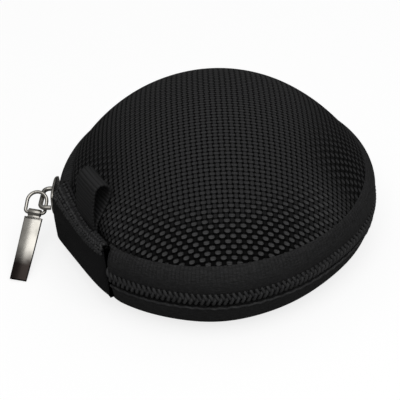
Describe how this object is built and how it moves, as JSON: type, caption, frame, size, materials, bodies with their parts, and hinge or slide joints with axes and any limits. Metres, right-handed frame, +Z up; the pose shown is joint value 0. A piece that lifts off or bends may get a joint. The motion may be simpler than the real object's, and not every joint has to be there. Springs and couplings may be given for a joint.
{
  "type": "earphone carrying case",
  "caption": "Round zipped clamshell case with a domed lid, shallow base, fabric hinge, ribbon hang loop, mesh pocket and a slider with a ring pull.",
  "frame": {"origin": "centre of the flat underside, on the surface the case rests on", "axes": "+Z up through the dome, +Y towards the hinge at the back, -Y towards the front where it opens"},
  "size_m": [0.0804, 0.0929, 0.043],
  "materials": {
    "cover_nylon": "coarse ballistic nylon weave, satin threads",
    "foam": "closed-cell moulded foam",
    "lining_fleece": "short brushed knit",
    "tape": "ribbed woven zip tape",
    "coil": "wound nylon monofilament",
    "binding_tape": "plain woven binding",
    "mesh": "open knitted mesh",
    "elastic": "ribbed elastic",
    "webbing": "twill webbing with a bumpy sewn edge",
    "ribbon": "grosgrain with ribs along the fold",
    "nickel": "satin nickel plate"
  },
  "bodies": {
    "base": {"base_cover": "cover_nylon", "base_foam_shell": "foam", "base_lining": "lining_fleece", "base_zip_tape": "tape", "base_coil": "coil", "base_binding": "binding_tape", "hinge_webbing": "webbing", "hinge_lining": "binding_tape"},
    "lid": {"lid_cover": "cover_nylon", "lid_foam_shell": "foam", "lid_lining": "lining_fleece", "lid_zip_tape": "tape", "lid_zip_tape_ends": "tape", "lid_coil": "coil", "lid_coil_ends": "coil", "lid_binding": "binding_tape", "lid_pocket_mesh": "mesh", "pocket_elastic": "elastic"},
    "loop": {"hang_loop": "ribbon"},
    "slider": {"slider_body": "nickel", "slider_bail": "nickel"},
    "ring": {"pull_ring": "nickel"},
    "tab": {"pull_tab": "nickel"}
  },
  "joints": [
    {"name": "lid_hinge", "type": "hinge", "parent": "base", "child": "lid", "pos_m": [0, 0.0377, 0.012], "axis": [-1, 0, 0], "range_deg": [0, 105], "deforming": ["hinge_webbing", "hinge_lining", "lid_zip_tape_ends", "lid_coil_ends"]},
    {"name": "loop_tilt", "type": "hinge", "parent": "lid", "child": "loop", "pos_m": [0, 0.03685, 0.0203], "axis": [-1, 0, 0], "range_deg": [0, 55], "stiffness_Nm_per_rad": 0.0003},
    {"name": "zip_slide", "type": "hinge", "parent": "base", "child": "slider", "pos_m": [0, 0, 0.012], "axis": [0, 0, -1], "range_deg": [0, 293]},
    {"name": "ring_swing", "type": "hinge", "parent": "slider", "child": "ring", "pos_m": [0.02431, 0.03816, 0.012], "axis": [0.8434, -0.5373, 0], "range_deg": [-5, 60]},
    {"name": "tab_swing", "type": "hinge", "parent": "ring", "child": "tab", "pos_m": [0.02194, 0.04155, 0.01025], "axis": [0.6285, 0.7737, 0.0793], "range_deg": [-60, 45]}
  ]
}
